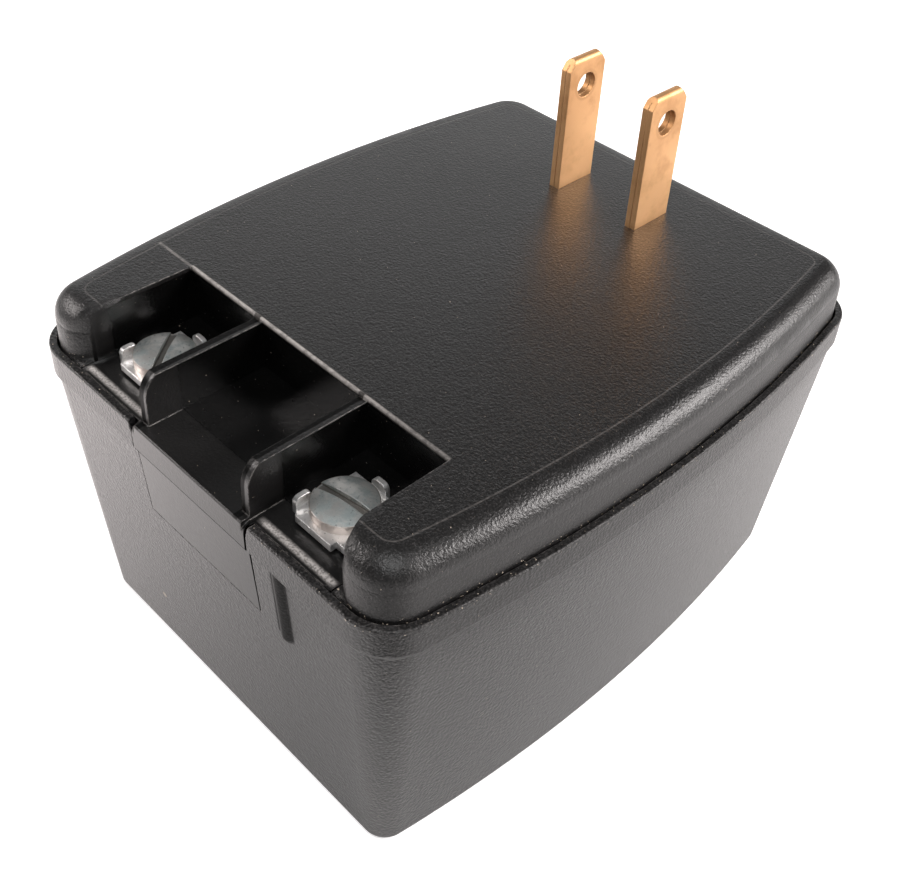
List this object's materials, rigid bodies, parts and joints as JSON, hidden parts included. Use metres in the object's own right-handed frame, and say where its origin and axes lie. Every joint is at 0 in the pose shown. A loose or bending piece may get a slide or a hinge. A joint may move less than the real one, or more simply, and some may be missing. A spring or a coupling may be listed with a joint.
{
  "type": "plug-in transformer",
  "caption": "Plug-in mains transformer: black drafted case with bowed sides, lid with brass blades, and an open end recess with barriers and screw terminals.",
  "frame": {"origin": "centre of the flat base", "axes": "+Z along the mains blades, away from the base; -Y towards the screw terminals; X across, along the blade spacing"},
  "size_m": [0.0678, 0.0792, 0.0657],
  "materials": {
    "moulding": "black moulded plastic, finely textured",
    "brass": "plain rolled brass strip",
    "fibre": "vulcanised fibre",
    "zinc_plate": "dull zinc plating",
    "lamination": "varnished stamped steel",
    "band_steel": "plain steel strap",
    "bobbin_nylon": "natural nylon",
    "tinned": "tinned wire",
    "enamelled_copper": "enamelled winding wire",
    "tape": "polyester winding tape",
    "fuse_case": "drawn can",
    "black_insulation": "insulated wire",
    "red_insulation": "insulated wire"
  },
  "bodies": {
    "root": {"case": "moulding", "cover": "moulding", "blade_left": "brass", "blade_right": "brass", "blade_keeper": "fibre", "terminal_plate_left": "zinc_plate", "terminal_plate_right": "zinc_plate", "clamp_washer_left": "zinc_plate", "clamp_washer_right": "zinc_plate", "terminal_screw_left": "zinc_plate", "terminal_screw_right": "zinc_plate", "e_core": "lamination", "i_core": "lamination", "core_band": "band_steel", "bobbin": "bobbin_nylon", "winding_pins": "tinned", "primary_winding": "enamelled_copper", "secondary_winding": "enamelled_copper", "primary_wrap": "tape", "secondary_wrap": "tape", "thermal_fuse": "fuse_case", "primary_lead_right": "black_insulation", "primary_lead_fused": "black_insulation", "primary_lead_left": "black_insulation", "secondary_lead_left": "red_insulation", "secondary_lead_right": "red_insulation"}
  },
  "joints": []
}
